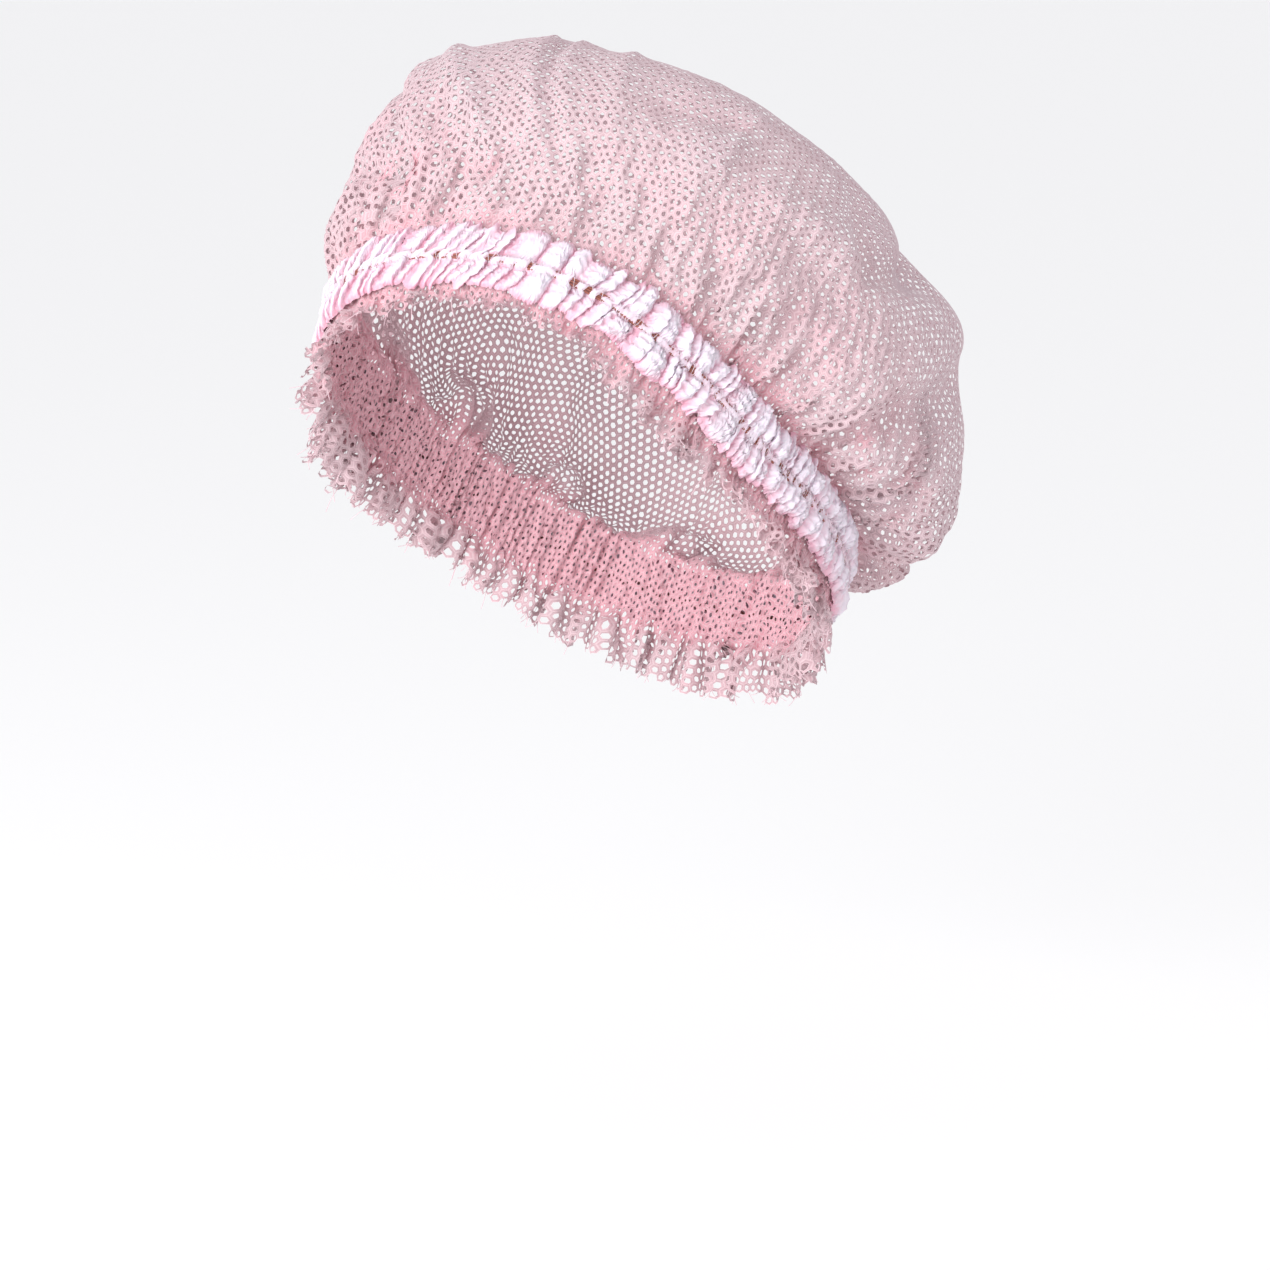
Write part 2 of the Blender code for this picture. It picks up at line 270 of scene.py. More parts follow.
# Folds and dents of the crown. turn: degrees round the opening from the forehead;
# climb: share of the way from the band to the apex; width, height: mm, a dent is negative;
# crisp: 2 is a soft swell, 1 a sharp crease
Fold = namedtuple("Fold", "turn_from climb_from turn_to climb_to width height crisp")
FOLDS = (
    Fold(70, 0.13, 90, 0.42, 6, -4, 1.3),
    Fold(88, 0.40, 126, 0.62, 9, -9, 2),
    Fold(102, 0.04, 110, 0.20, 6, -4, 1.3),
    Fold(108, 0.18, 138, 0.43, 9, -10, 2),
    Fold(92, 0.10, 124, 0.45, 14, 4, 2),
    Fold(112, 0.12, 128, 0.18, 18, 4, 2),
    Fold(122, 0.44, 142, 0.56, 14, 3, 2),
    Fold(124, 0.05, 142, 0.20, 15, 3.5, 2),
    Fold(146, 0.50, 149, 0.34, 9, -4, 2),
    Fold(122, 0.02, 109, 0.12, 5, 3, 1.2),
    Fold(138, 0.03, 126, 0.14, 5, -4, 1.2),
    Fold(60, 0.50, 72, 0.62, 15, 2, 2),
    Fold(60, 0.28, 80, 0.35, 8, 5, 1.6),
    Fold(66, 0.23, 76, 0.25, 8, -4, 2),
    Fold(79, 0.48, 80, 0.38, 8, -5, 2),
    Fold(46, 0.66, 74, 0.66, 10, -5, 2),
    Fold(46, 0.44, 44, 0.24, 4, 4, 1.1),
    Fold(31, 0.33, 42, 0.38, 10, -5, 2),
    Fold(46, 0.03, 40, 0.30, 8, 3, 1.5),
    Fold(-5, 0.46, 16, 0.12, 3.5, 3.5, 1.1),
    Fold(-2, 0.47, 18, 0.12, 2.5, -3.5, 1.1),
    Fold(2, 0.46, 21, 0.12, 3.5, 3, 1.1),
    Fold(13, 0.48, 28, 0.15, 3, 2, 1.1),
    Fold(-24, 0.40, -2, 0.22, 5, 4, 1.1),
    Fold(-36, 0.52, -22, 0.44, 9, -4, 2),
    Fold(8, 0.55, 26, 0.60, 10, -3, 2),
    Fold(-2, 0.22, 4, 0.13, 4, 3, 1.1),
    Fold(-40, 0.38, -13, 0.11, 4, -4, 1.1),
    Fold(-32, 0.36, -8, 0.12, 8, 3, 2),
    Fold(-13, 0.11, -54, 0.25, 4, -4, 1.1),
    Fold(-52, 0.12, -40, 0.08, 12, 1.5, 2),
    Fold(-64, 0.20, -44, 0.22, 7, -3, 2),
    Fold(-80, 0.05, -60, 0.45, 9, -5, 2),
    Fold(-70, 0.10, -52, 0.50, 9, 3, 2),
    Fold(-104, 0.05, -116, 0.42, 10, -6, 2),
    Fold(-132, 0.05, -120, 0.52, 9, -7, 2),
    Fold(-144, 0.10, -145, 0.50, 15, 4, 2),
    Fold(-156, 0.04, -170, 0.55, 9, -7, 2),
    Fold(178, 0.05, 172, 0.45, 10, -6, 2),
    Fold(150, 0.05, 162, 0.50, 9, -6, 2),
)

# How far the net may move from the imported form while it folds: mm inwards and sideways at
# each climb. Outwards it may move by a share of that.
Room = namedtuple("Room", "climb away")
FOLD_ROOM = (Room(0, 0.5), Room(0.05, 3), Room(0.2, 6.5), Room(0.6, 6), Room(0.85, 3), Room(1, 0))
OUTWARD_SHARE = 0.3

# The same for the fine folds, read along the rings
Slack = namedtuple("Slack", "ring away")
NET_SLACK = (
    Slack(8, 0), Slack(40, 1.5), Slack(80, 2.5), Slack(105, 3), Slack(113, 3), Slack(118, 1.6),
    Slack(121, 0.7), Slack(136, 0.7), Slack(138, 1.5), Slack(142, 4.5), Slack(152, 6),
)

# The worn net: its places and outward directions, ring by ring, the length of each rib, how
# densely it is gathered at each place (0 to 1), and the run of its gathers round the opening
Worn = namedtuple("Worn", "places facing rib density waves")

# Ties between places of a cloth: how many rings and ribs apart, the shortest and longest
# share of their flat length that they may have, and how firmly they hold to it
Tie = namedtuple("Tie", "rings ribs shortest longest firmness")
LARGE_TIES = (
    Tie(0, 1, 0.64, 1.0, 1.0), Tie(1, 0, 0.95, 1.02, 1.0), Tie(1, 1, 0.72, 1.05, 0.6),
    Tie(1, -1, 0.72, 1.05, 0.6), Tie(0, 2, 0.62, 9, 0.6), Tie(0, 3, 0.60, 9, 0.5),
    Tie(2, 0, 0.95, 9, 0.6),
)
NET_TIES = (
    Tie(0, 1, 0.80, 1.02, 1.0), Tie(1, 0, 0.92, 1.02, 1.0), Tie(1, 1, 0.82, 1.05, 0.8),
    Tie(1, -1, 0.82, 1.05, 0.8), Tie(0, 2, 0.72, 9, 0.5), Tie(2, 0, 0.88, 9, 0.5),
    Tie(0, 3, 0.60, 9, 0.25),
)
TAPE_TIES = (
    Tie(0, 1, 0.85, 1.05, 1.0), Tie(1, 0, 0.85, 1.05, 1.0), Tie(1, 1, 0.8, 1.1, 0.6),
    Tie(1, -1, 0.8, 1.1, 0.6), Tie(0, 2, 0.6, 9, 0.4), Tie(2, 0, 0.8, 9, 0.5),
)

# One side of the tape, from the pinched line out to its edge in mm: where it ends, where the
# pleats' valleys end, and how tall its pleats are
Side = namedtuple("Side", "edge valley tall")
UPPER_SIDE = Side(12.8, 9.8, 3.4)
LOWER_SIDE = Side(-11.6, 9.0, 2.9)

# Directions of the tilted opening: sideways, towards the nape, and up through the crown
SIDE = np.array((1.0, 0.0, 0.0))
NAPE = np.array((0.0, math.cos(OPENING_TILT), -math.sin(OPENING_TILT)))
RISE = np.array((0.0, math.sin(OPENING_TILT), math.cos(OPENING_TILT)))
CROWN_HEART = FORM_CENTRE + 45 * MM * RISE + 12 * MM * NAPE

chance = np.random.default_rng(7)


def camera_at_the_photo_angle():
    camera = bpy.data.objects.new("camera", bpy.data.cameras.new("camera"))
    bpy.context.collection.objects.link(camera)
    camera.location = CAMERA_PLACE
    look = Vector(CAMERA_AIM) - Vector(CAMERA_PLACE)
    camera.rotation_euler = look.to_track_quat("-Z", "Y").to_euler()
    camera.data.lens = CAMERA_LENS
    camera.data.clip_start = 0.1
    camera.data.clip_end = 50
    bpy.context.scene.camera = camera


def unit(vectors):
    return vectors / np.linalg.norm(vectors, axis=-1, keepdims=True)


def smoothly(before, here, after, beyond, share):
    """A value between here and after, on a smooth curve through all four."""
    bend = 2 * before - 5 * here + 4 * after - beyond + share * (3 * (here - after) + beyond - before)
    return here + 0.5 * share * (after - before + share * bend)


def around(column, turn):
    """A column of SECTIONS read smoothly at any turn, closed on itself."""
    values = np.array([getattr(section, column) for section in SECTIONS], float)
    place = (turn / math.tau * len(values)) % len(values)
    row = np.floor(place).astype(int)
    nearby = (values[(row + offset) % len(values)] for offset in (-1, 0, 1, 2))
    return smoothly(*nearby, place - np.floor(place))


def wander(turn, slowest, fastest):
    """An irregular curve round the opening, closed on itself, of about unit size."""
    waves = np.arange(slowest, fastest + 1)
    sizes = chance.normal(size=(2, len(waves))) / math.sqrt(len(waves))
    angles = np.multiply.outer(turn, waves)
    return np.cos(angles) @ sizes[0] + np.sin(angles) @ sizes[1]


def spoke(turn):
    """Unit vectors in the tilted plane, from the forehead (0) round by the wearer's left."""
    return np.multiply.outer(np.sin(turn), SIDE) - np.multiply.outer(np.cos(turn), NAPE)


def pinch_line(turn):
    """The line where the elastic draws the band onto the form."""
    lift = np.radians(around("lift", turn))[..., None]
    ray = np.cos(lift) * spoke(turn) + np.sin(lift) * RISE
    flat = (ray[..., 0] / FORM_HALF[0]) ** 2 + (ray[..., 1] / FORM_HALF[1]) ** 2
    reach = flat ** (FORM_SQUARENESS / 2) + np.abs(ray[..., 2] / FORM_HALF[2]) ** FORM_SQUARENESS
    distance = reach ** (-1 / FORM_SQUARENESS) + around("standoff", turn) * MM
    return FORM_CENTRE + ray * distance[..., None]


def beside_band(turn, out, up):
    """A place near the band: out from the form, and up across the band's width."""
    line = pinch_line(turn)
    along = unit(pinch_line(turn + TURN_STEP) - pinch_line(turn - TURN_STEP))
    arm = line - FORM_CENTRE
    flat = (arm[..., 0] / FORM_HALF[0]) ** 2 + (arm[..., 1] / FORM_HALF[1]) ** 2
    slope = flat ** (FORM_SQUARENESS / 2 - 1)
    height = arm[..., 2] / FORM_HALF[2]
    facing = np.stack((slope * arm[..., 0] / FORM_HALF[0] ** 2,
                       slope * arm[..., 1] / FORM_HALF[1] ** 2,
                       np.sign(height) * np.abs(height) ** (FORM_SQUARENESS - 1) / FORM_HALF[2]), -1)
    facing = unit(facing - (facing * along).sum(-1, keepdims=True) * along)
    across = np.cross(facing, along)
    across *= np.sign(across @ RISE)[..., None]
    return line + facing * np.asarray(out)[..., None] + across * np.asarray(up)[..., None]


def billow(turn, share):
    """The crown without its folds: out from the band to the belly, then over to the apex."""
    start = beside_band(turn, np.full(turn.shape, NET_OVER_FORM), np.full(turn.shape, CROWN_START))
    start = start - FORM_CENTRE
    sideways = np.multiply.outer(np.cos(turn), SIDE) + np.multiply.outer(np.sin(turn), NAPE)
    start_radius = (start * spoke(turn)).sum(-1)
    start_height = start @ RISE
    drift = (start * sideways).sum(-1)
    belly_radius = around("belly_radius", turn) * MM
    belly_height = around("belly_height", turn) * MM
    power = 2 / around("squareness", turn)
    low = share < BELLY_SHARE
    under = np.clip(share / BELLY_SHARE, 0, 1) * math.pi / 2
    over = np.clip((share - BELLY_SHARE) / (1 - BELLY_SHARE), 0, 1) * math.pi / 2
    radius_low = start_radius + (belly_radius - start_radius) * np.sin(under) ** BELLY_LEAVE
    radius_high = belly_radius * np.abs(np.cos(over)) ** power
    height_low = start_height + (belly_height - start_height) * (1 - np.cos(under))
    height_high = belly_height + (APEX_HEIGHT - belly_height) * np.sin(over) ** power
    radius = np.where(low, radius_low, radius_high)[..., None]
    height = np.where(low, height_low, height_high)[..., None]
    back = APEX_BACK * np.sin(over)[..., None] ** 2
    drift = (drift * np.cos(under) ** 2)[..., None]
    return FORM_CENTRE + spoke(turn) * radius + sideways * drift + RISE * height + NAPE * back


def rib_lengths(turn):
    """The length of each rib of the crown, and its places measured evenly along it."""
    samples = np.linspace(0, 1, RIB_SAMPLES)
    ribs = billow(np.repeat(turn[:, None], len(samples), 1), np.repeat(samples[None], len(turn), 0))
    steps = np.linalg.norm(np.diff(ribs, axis=1), axis=-1)
    lengths = np.concatenate((np.zeros((len(turn), 1)), np.cumsum(steps, axis=1)), axis=1)
    return samples, lengths


def crown(turn, climb):
    """The billow measured evenly: climb is the share of each rib's length, band to apex."""
    samples, lengths = rib_lengths(turn)
    share = [np.interp(c * run[-1], run, samples) for c, run in zip(climb, lengths)]
    return billow(turn, np.array(share))


def fold_relief(points, folds):
    """How far these folds and dents lift each point of the crown."""
    relief = np.zeros(len(points))
    for fold in folds:
        turns = np.radians(np.linspace(fold.turn_from, fold.turn_to, FOLD_SAMPLES))
        crest = crown(turns, np.linspace(fold.climb_from, fold.climb_to, FOLD_SAMPLES))
        away = np.full(len(points), np.inf)
        for here, run in zip(crest, np.diff(crest, axis=0)):
            along = np.clip((points - here) @ run / (run @ run), 0, 1)
            away = np.minimum(away, np.linalg.norm(points - here - along[:, None] * run, axis=1))
        relief += fold.height * MM * np.exp(-(away / (fold.width * MM)) ** fold.crisp)
    return relief


def settle(places, flat, outward, ties, room, held, start, breath, rounds):
    """Lets gathered cloth fold by itself, from a form that is a little uneven at the start.
    Its ties draw back towards their flat lengths, a breath of air swells it, and no place
    leaves the form by more than its room: the first value outwards, the second otherwise."""
    form = places.copy()
    lengths = [np.linalg.norm(np.roll(flat, -tie.ribs, 1)[tie.rings:] - flat[:len(flat) - tie.rings],
                              axis=-1) for tie in ties]
    loose = ~held[..., None]
    places = places + outward * chance.normal(0, start, held.shape)[..., None] * loose
    for _ in range(rounds):
        for tie, length in zip(ties, lengths):
            last = len(places) - tie.rings
            reach = np.roll(places, -tie.ribs, 1)[tie.rings:] - places[:last]
            now = np.linalg.norm(reach, axis=-1)
            wrong = now - np.clip(now, tie.shortest * length, tie.longest * length)
            pull = reach * (TIE_PULL * tie.firmness * wrong / now)[..., None]
            move = np.zeros_like(places)
            move[:last] += pull
            move[tie.rings:] -= np.roll(pull, tie.ribs, 1)
            places += move * loose
        beside = (np.roll(places, 1, 1) + np.roll(places, -1, 1)) / 2
        places += ((beside - places) * TIE_CALM + outward * breath) * loose
        shift = places - form
        rise = (shift * outward).sum(-1, keepdims=True)
        aside = shift - rise * outward
        far = np.linalg.norm(aside, axis=-1, keepdims=True)
        aside *= np.minimum(1, room[1] / np.maximum(far, TINY))
        places = form + np.clip(rise, -room[1], room[0]) * outward + aside
    return places


def facings(places):
    """Unit outward directions of a sheet that is closed round the opening."""
    along = np.roll(places, -1, axis=1) - np.roll(places, 1, axis=1)
    down = np.gradient(places, axis=0)
    facing = np.cross(down, along)
    middle = len(places) // 2
    facing *= np.sign((facing[middle] * (places[middle] - CROWN_HEART)).sum())
    return unit(facing + NO_AREA)


def finer(grid, axis, wraps):
    """The grid read COARSE times as finely along one axis, on smooth curves."""
    size = grid.shape[axis]
    steps = np.arange(size * COARSE if wraps else (size - 1) * COARSE + 1) / COARSE
    start = np.floor(steps).astype(int)
    share = (steps - start).reshape([-1 if side == axis else 1 for side in range(grid.ndim)])

    def beside(offset):
        place = start + offset
        return np.take(grid, place % size if wraps else np.clip(place, 0, size - 1), axis)

    return smoothly(*(beside(offset) for offset in (-1, 0, 1, 2)), share)


def among(grid):
    """The mean of the four places beside each one, leaving out the first and the last ring."""
    sideways = np.roll(grid, 1, 1) + np.roll(grid, -1, 1)
    return (grid[:-2] + grid[2:] + sideways[1:-1]) / 4


def without_spikes(places):
    """Places of the crown that stand out sharply drawn back among those beside them."""
    for _ in range(SPIKE_ROUNDS):
        back = among(places) - places[1:-1]
        share = np.clip(np.linalg.norm(back, axis=-1, keepdims=True) / SPIKE - 1, 0, 1)
        share[:FINE_HELD] = share[CROWN_RINGS:] = 0
        places[1:-1] += share * back
    return places


def worn_net():
    """The net drawn up over its form, folded by its own spare cloth."""
    turn = np.arange(RIBS) / RIBS * math.tau
    samples, lengths = rib_lengths(turn)
    rib = lengths[:, -1]
    climb = 1 - np.arange(CROWN_RINGS + 1) / CROWN_RINGS
    share = np.stack([np.interp(climb * run[-1], run, samples) for run in lengths], axis=1)
    rings = billow(np.broadcast_to(turn, share.shape), share)
    flush = np.minimum(1, climb / FOLDS_GROW)[:, None]
    broad, creases = (fold_relief(rings.reshape(-1, 3), folds).reshape(share.shape) * flush
                      for folds in ([fold for fold in FOLDS if fold.width >= CREASE],
                                    [fold for fold in FOLDS if fold.width < CREASE]))
    rings = rings + unit(rings - CROWN_HEART) * broad[..., None]
    flat_way = np.stack((np.sin(turn), -np.cos(turn)), -1)
    reach = np.multiply.outer(1 - climb, rib)

    places = rings[::COARSE, ::COARSE]
    outward = facings(places)
    outward[0] = outward[1].mean(0)
    held = np.zeros(places.shape[:2], bool)
    held[:COARSE_HELD] = held[-1:] = True
    away = np.interp(climb[::COARSE], *np.array(FOLD_ROOM).T)[:, None, None] * MM
    flat = reach[::COARSE, ::COARSE, None] * flat_way[::COARSE] * SPARE_CLOTH
    places = settle(places, flat, outward, LARGE_TIES, (OUTWARD_SHARE * away, away), held,
                    COARSE_START, COARSE_BREATH, COARSE_ROUNDS)
    rings = finer(finer(places, 0, False), 1, True)

    skirt = []
    pasts = np.arange(SKIRT_RING, UNDER_TAPE + LONGEST_FRILL, SKIRT_RING)
    ruffle = FRILL_WAVE * np.sin(FRILL_RUFFLES * turn) + FRILL_STRAY * wander(turn, *FRILL_STRAY_WAVES)
    for past in pasts:
        hang = np.clip((past - UNDER_TAPE) / (around("frill", turn) * MM), 0, FRILL_PAST_EDGE)
        out = NET_OVER_FORM + (FRILL_FLARE + ruffle) * hang ** FRILL_CURVE
        skirt.append(beside_band(turn, out, np.full(turn.shape, CROWN_START - past)))
    places = np.concatenate((rings, np.array(skirt)))
    outward = facings(places)
    outward[0] = outward[2].mean(0)
    reach = np.concatenate((reach, rib + pasts[:, None]))
    flat = reach[..., None] * flat_way * FINE_SPARE
    held = np.zeros(places.shape[:2], bool)
    held[:FINE_HELD] = True
    away = np.interp(np.arange(len(places)), *np.array(NET_SLACK).T)[:, None, None] * MM
    places = settle(places, flat, outward, NET_TIES, (FINE_OUTWARD_SHARE * away, away), held,
                    FINE_START, 0, FINE_ROUNDS)
    places[:len(creases)] += outward[:len(creases)] * creases[..., None]
    places = without_spikes(places)
    facing = facings(places)
    facing[1:-1] = unit(among(facing) + facing[1:-1])
    facing[0] = facing[2].mean(0)
    return Worn(places, facing, rib, density(places, reach), gather_waves())


def density(places, reach):
    """How much more net than room there is round each place: 0 for none, 1 for twice as much."""
    along = (np.roll(places, -1, axis=1) - np.roll(places, 1, axis=1)) / 2
    worn = np.linalg.norm(np.cross(np.gradient(places, axis=0), along), axis=-1)
    flat = np.gradient(reach, axis=0) * reach * math.tau / RIBS
    spare = np.clip(flat / np.maximum(worn, TINY * MM) - 1, 0, MOST_SPARE)
    for _ in range(SPARE_ROUNDS):
        spare = (2 * spare + np.roll(spare, 1, 1) + np.roll(spare, -1, 1)) / 4
        spare[1:-1] = (2 * spare[1:-1] + spare[:-2] + spare[2:]) / 4
    return np.minimum(spare, 1)[..., None]


def gather_waves():
    """For each count of gathers, its phase and its strength, read evenly round the opening.
    They are slight where the net lies smooth, beside the forehead."""
    turn = np.arange(GATHER_READINGS + 1) / GATHER_READINGS * math.tau
    full = 1 - SMOOTH_SHARE * np.exp(-((turn - SMOOTH_TURN) / SMOOTH_WIDTH) ** 2)
    return [(count * turn + GATHER_STRAY * wander(turn, 3, count // 3),
             full * np.clip(GATHER_STRENGTH + GATHER_UNEVEN * wander(turn, 4, count // 2), *GATHER_LIMITS))
            for count in GATHER_COUNTS]


def gather_rise(waves, turn, past):
    """How far the gathers lift the net, round crests between sharp valleys."""
    evenly = np.arange(GATHER_READINGS + 1) / GATHER_READINGS * math.tau
    table = np.array(GATHERS)
    rise = 0
    for number, (phase, strength) in enumerate(waves):
        tall = np.interp(past, table[:, 0] * MM, table[:, number + 1] * MM)
        crest = 1 - 2 * np.abs(np.sin(np.interp(turn, evenly, phase) / 2)) ** GATHER_CREST
        rise = rise + tall * np.interp(turn, evenly, strength) * crest
    return rise


def read_rings(grid, turn, ring):
    """The grid's value at a place between its ribs and rings."""
    spot = turn / math.tau * RIBS
    left = np.floor(spot).astype(int)
    upper = np.clip(np.floor(ring).astype(int), 0, len(grid) - 2)
    right_share = (spot - left)[..., None]
    lower_share = (ring - upper)[..., None]
    left, right = left % RIBS, (left + 1) % RIBS
    above = grid[upper, left] * (1 - right_share) + grid[upper, right] * right_share
    below = grid[upper + 1, left] * (1 - right_share) + grid[upper + 1, right] * right_share
    return above * (1 - lower_share) + below * lower_share


def laid(net, flat, rise):
    """Flat places on the disc brought to the worn net, raised by rise, with their turns, how far
    past the crown's edge they lie and how densely the net is gathered there."""
    turn = np.arctan2(flat[..., 0], -flat[..., 1]) % math.tau
    reach = np.linalg.norm(flat, axis=-1)
    length = read_rings(net.rib[None, :, None].repeat(2, 0), turn, turn * 0)[..., 0]
    past = reach - length
    ring = np.where(past < 0, reach / length * CROWN_RINGS, CROWN_RINGS + past / SKIRT_RING)
    lift = rise + gather_rise(net.waves, turn, past)
    place = read_rings(net.places, turn, ring) + unit(read_rings(net.facing, turn, ring)) * lift[..., None]
    return place, turn, past, read_rings(net.density, turn, ring)[..., 0]


def mesh_piece(name, mesh, material):
    mesh.materials.append(material)
    mesh.shade_smooth()
    piece = bpy.data.objects.new(name, mesh)
    bpy.context.collection.objects.link(piece)
    return piece


def knit(net, material):
    """The disc of net: six strips of knit round each hole, in a crown and an edge piece, each
    with the flat area of its strips."""
    widest = net.rib.max() + UNDER_TAPE + LONGEST_FRILL
    rows = np.arange(-int(widest / HOLE_ROW) - 1, int(widest / HOLE_ROW) + 2)
    columns = np.arange(-int(widest / HOLE_PITCH) - 1, int(widest / HOLE_PITCH) + 2)
    row, column = (grid.ravel() for grid in np.meshgrid(rows, columns, indexing="ij"))
    centre = np.stack(((column + 0.5 * (row % 2)) * HOLE_PITCH, row * HOLE_ROW), -1)
    cos, sin = math.cos(ROW_RUNS), math.sin(ROW_RUNS)
    spin = np.array(((cos, sin), (-sin, cos)))

    # The corners of one cell, and how its hole is drawn in from them
    shoulder = (HOLE_ROW ** 2 - (HOLE_PITCH / 2) ** 2) / (2 * HOLE_ROW)
    tip = HOLE_ROW - shoulder
    half = HOLE_PITCH / 2
    corner = np.array(((0, tip), (-half, shoulder), (-half, -shoulder),
                       (0, -tip), (half, -shoulder), (half, shoulder)))
    hole = corner * (HOLE_WIDE / half, HOLE_HIGH / tip)
    sides = np.arange(6)
    strip_run = np.stack((np.stack((sides, 1 + 0 * sides), -1), np.stack((sides + 1, 1 + 0 * sides), -1),
                          np.stack((sides + 1, 0 * sides), -1), np.stack((sides, 0 * sides), -1)), 1)

    _, turn, past, spare = laid(net, centre @ spin, 0)
    frill = around("frill", turn) * MM + RAGGED_EDGE * chance.uniform(-1, 1, len(turn))
    kept = past < UNDER_TAPE + frill
    centre, past, spare = centre[kept], past[kept], spare[kept]
    made = []
    for name, chosen in (("net_crown", past < CROWN_PAST_TAPE_EDGE),
                         ("net_edge", past >= CROWN_PAST_TAPE_EDGE)):
        cells = centre[chosen]
        closed = HOLE_CLOSES * spare[chosen][:, None, None]
        slack = chance.normal(1, HOLE_UNEVEN, (len(cells), 1, 2)) - closed
        shift = chance.normal(0, HOLE_SHIFT, (len(cells), 1, 2))
        outer = (cells[:, None] + corner[None]).reshape(-1, 2)
        inner = (cells[:, None] + hole[None] * slack + shift).reshape(-1, 2)
        key = np.rint(outer / SAME_CORNER).astype(np.int64)
        _, first, shared = np.unique(key, axis=0, return_index=True, return_inverse=True)
        shared = shared.reshape(-1, 6)
        outer = outer[first]
        inside = len(outer) + np.arange(len(inner)).reshape(-1, 6)
        quads = np.stack((shared, np.roll(shared, -1, 1), np.roll(inside, -1, 1), inside), -1)
        quads = quads.reshape(-1, 4)
        flat = np.concatenate((outer, inner)) @ spin
        rise = np.concatenate((np.full(len(outer), YARN_RISE), np.zeros(len(inner))))
        points, _, _, bunched = laid(net, flat, rise)
        mesh = bpy.data.meshes.new(name)
        mesh.from_pydata(points.tolist(), [], quads.tolist())
        cut = mesh.uv_layers.new(name="flat_cut")
        cut.data.foreach_set("uv", (flat[quads.ravel()] / widest / 2 + 0.5).ravel())
        # How densely the net is bunched at each place, which the knit's painted bounced light reads
        mesh.attributes.new("gather", "FLOAT", "POINT").data.foreach_set("value", bunched)
        run = mesh.uv_layers.new(name="yarn_run")
        run.data.foreach_set("uv", np.tile(strip_run.reshape(-1, 2), (len(cells), 1)).ravel())
        across, back = flat[quads[:, 2]] - flat[quads[:, 0]], flat[quads[:, 3]] - flat[quads[:, 1]]
        area = np.abs(across[:, 0] * back[:, 1] - across[:, 1] * back[:, 0]).sum() / 2
        made.append((mesh_piece(name, mesh, material), float(area)))
    return made


def yarns(name, paths, radius, closed, material):
    """Round yarn along each path."""
    curve = bpy.data.curves.new(name, "CURVE")
    curve.dimensions = "3D"
    curve.bevel_depth = radius
    curve.bevel_resolution = 1
    curve.use_fill_caps = not closed
    for path in paths:
        spline = curve.splines.new("POLY")
        spline.points.add(len(path) - 1)
        spline.points.foreach_set("co", np.column_stack((path, np.ones(len(path)))).ravel())
        spline.use_cyclic_u = closed
    drawn = bpy.data.objects.new(name, curve)
    bpy.context.collection.objects.link(drawn)
    mesh = bpy.data.meshes.new_from_object(drawn)
    bpy.data.objects.remove(drawn)
    mesh.name = name
    return mesh_piece(name, mesh, material)


def yarn_ends(net, material):
    """Cut ends of yarn that stand out from the raw edge."""
    turn = chance.uniform(0, math.tau, YARN_ENDS)
    length = chance.uniform(*YARN_END_LENGTH, YARN_ENDS)
    frill = around("frill", turn) * MM
    rib = np.interp(turn, np.arange(RIBS + 1) / RIBS * math.tau, np.append(net.rib, net.rib[0]))
    way = np.stack((np.sin(turn), -np.cos(turn)), -1)
    reach = rib + UNDER_TAPE + frill - RAGGED_EDGE
    edge, _, _, _ = laid(net, reach[:, None] * way, 0)
    before, _, _, _ = laid(net, (reach - YARN_END_ROOT)[:, None] * way, 0)
    down = unit(edge - before)
    aside = unit(chance.normal(size=down.shape))
    curl = unit(chance.normal(size=down.shape))
    steps = np.linspace(0, 1, YARN_END_STEPS)[:, None]
    paths = [start + size * (go * steps + YARN_END_LEAN * lean * steps + YARN_END_CURL * bend * steps ** 2)
             for start, size, go, lean, bend in zip(edge, length, down, aside, curl)]
    return yarns("yarn_ends", paths, YARN_END_RADIUS, False, material)


def wrapped_sheet(name, places, crest, material):
    """A sheet round the opening, made from a grid whose ends meet. crest is kept on it."""
    rows, columns = len(places) - 1, places.shape[1]
    mesh = bpy.data.meshes.new(name)
    sheet = bmesh.new()
    bmesh.ops.create_grid(sheet, x_segments=columns, y_segments=rows, size=0.5)
    layer = sheet.verts.layers.float.new("crest")
    for vert in sheet.verts:
        row, column = round((vert.co.y + 0.5) * rows), round((vert.co.x + 0.5) * columns) % columns
        vert.co = places[row, column]
        vert[layer] = crest[row, column]
    bmesh.ops.remove_doubles(sheet, verts=sheet.verts, dist=SAME_POINT)
    bmesh.ops.recalc_face_normals(sheet, faces=sheet.faces)
    outward = sum(face.normal.dot(face.calc_center_median()) for face in sheet.faces)
    if outward < 0:
        bmesh.ops.reverse_faces(sheet, faces=sheet.faces)
    sheet.to_mesh(mesh)
    sheet.free()
    return mesh_piece(name, mesh, material)


def at_forehead(turn):
    """1 along the forehead, where the pleats are wide, slanted and cross the pinched line."""
    away = (turn + math.pi) % math.tau - math.pi - FOREHEAD_MIDDLE
    return np.exp(-(away / FOREHEAD_REACH) ** 4)


